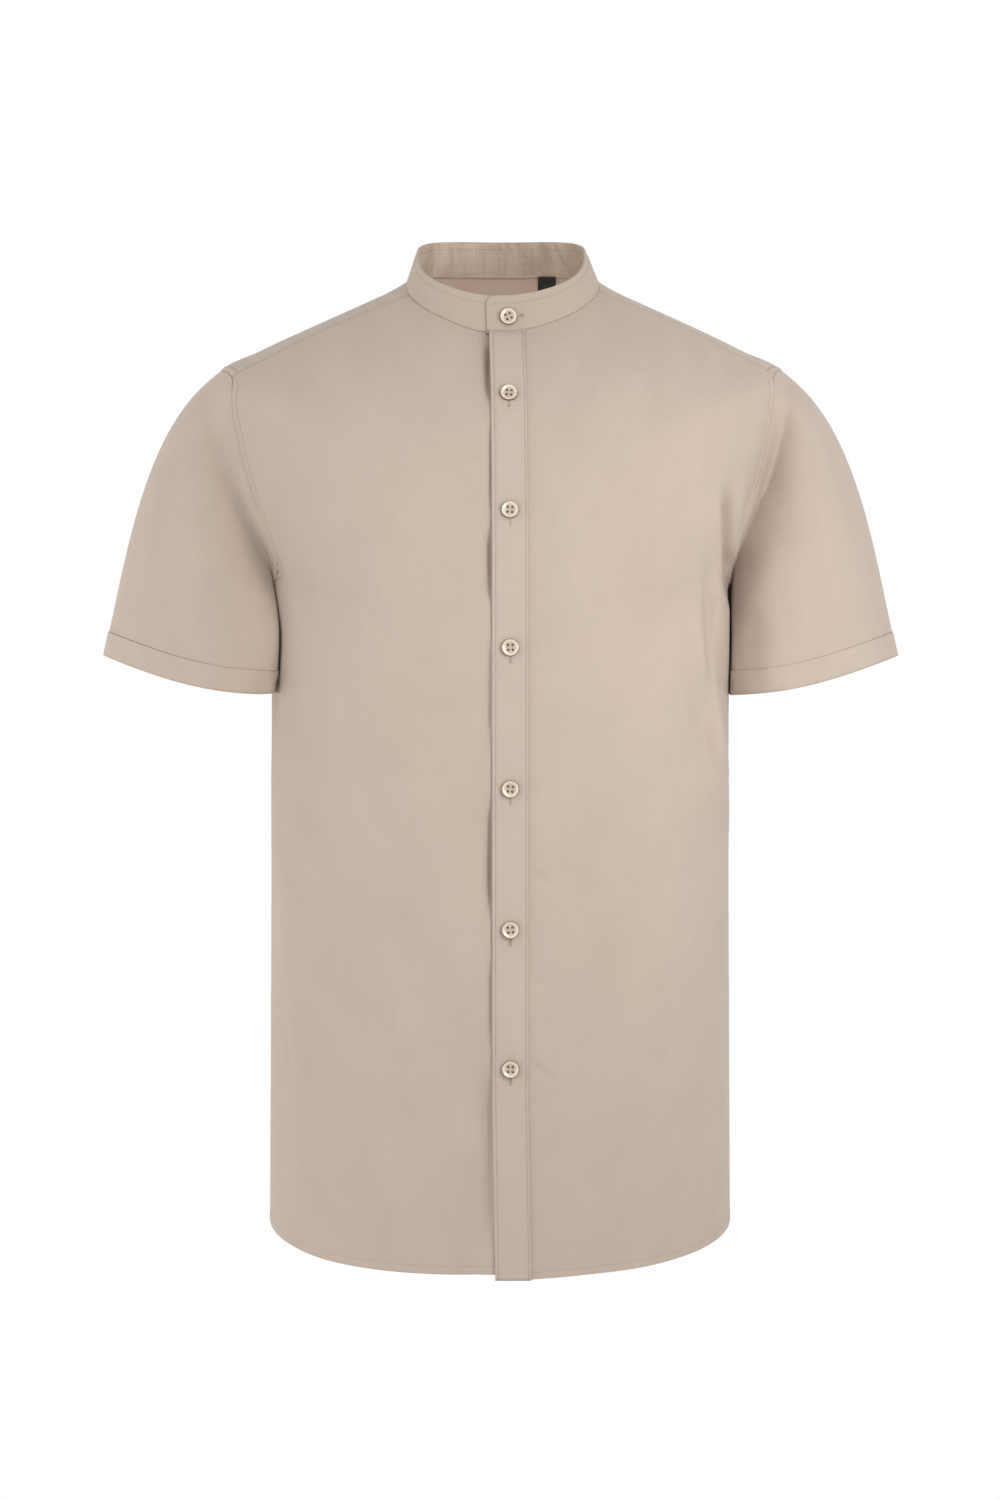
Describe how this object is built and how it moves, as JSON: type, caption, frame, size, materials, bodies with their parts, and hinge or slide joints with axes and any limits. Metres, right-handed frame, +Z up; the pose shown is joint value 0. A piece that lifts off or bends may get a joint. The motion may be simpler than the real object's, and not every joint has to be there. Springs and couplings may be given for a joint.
{
  "type": "mandarin collar shirt",
  "caption": "Short-sleeved shirt with a standing mandarin collar, a buttoned front placket, a back yoke and a curved hem, filled out as if worn.",
  "frame": {"origin": "centre of the neck opening, level with the high point of the shoulders, where the wearer holds the shirt up", "axes": "+Z up, -Y the way the front faces, +X the wearer's left"},
  "size_m": [0.5925, 0.2688, 0.7688],
  "materials": {
    "cloth": "matte",
    "collar": "matte",
    "button": "gloss",
    "label": "matte"
  },
  "bodies": {
    "root": {"right_front": "cloth", "left_front": "cloth", "front_placket": "cloth", "back": "cloth", "yoke": "cloth", "left_sleeve": "cloth", "right_sleeve": "cloth", "collar_band": "collar", "button_1": "button", "button_2": "button", "button_3": "button", "button_4": "button", "button_5": "button", "button_6": "button", "button_7": "button", "size_label": "label"}
  },
  "joints": []
}
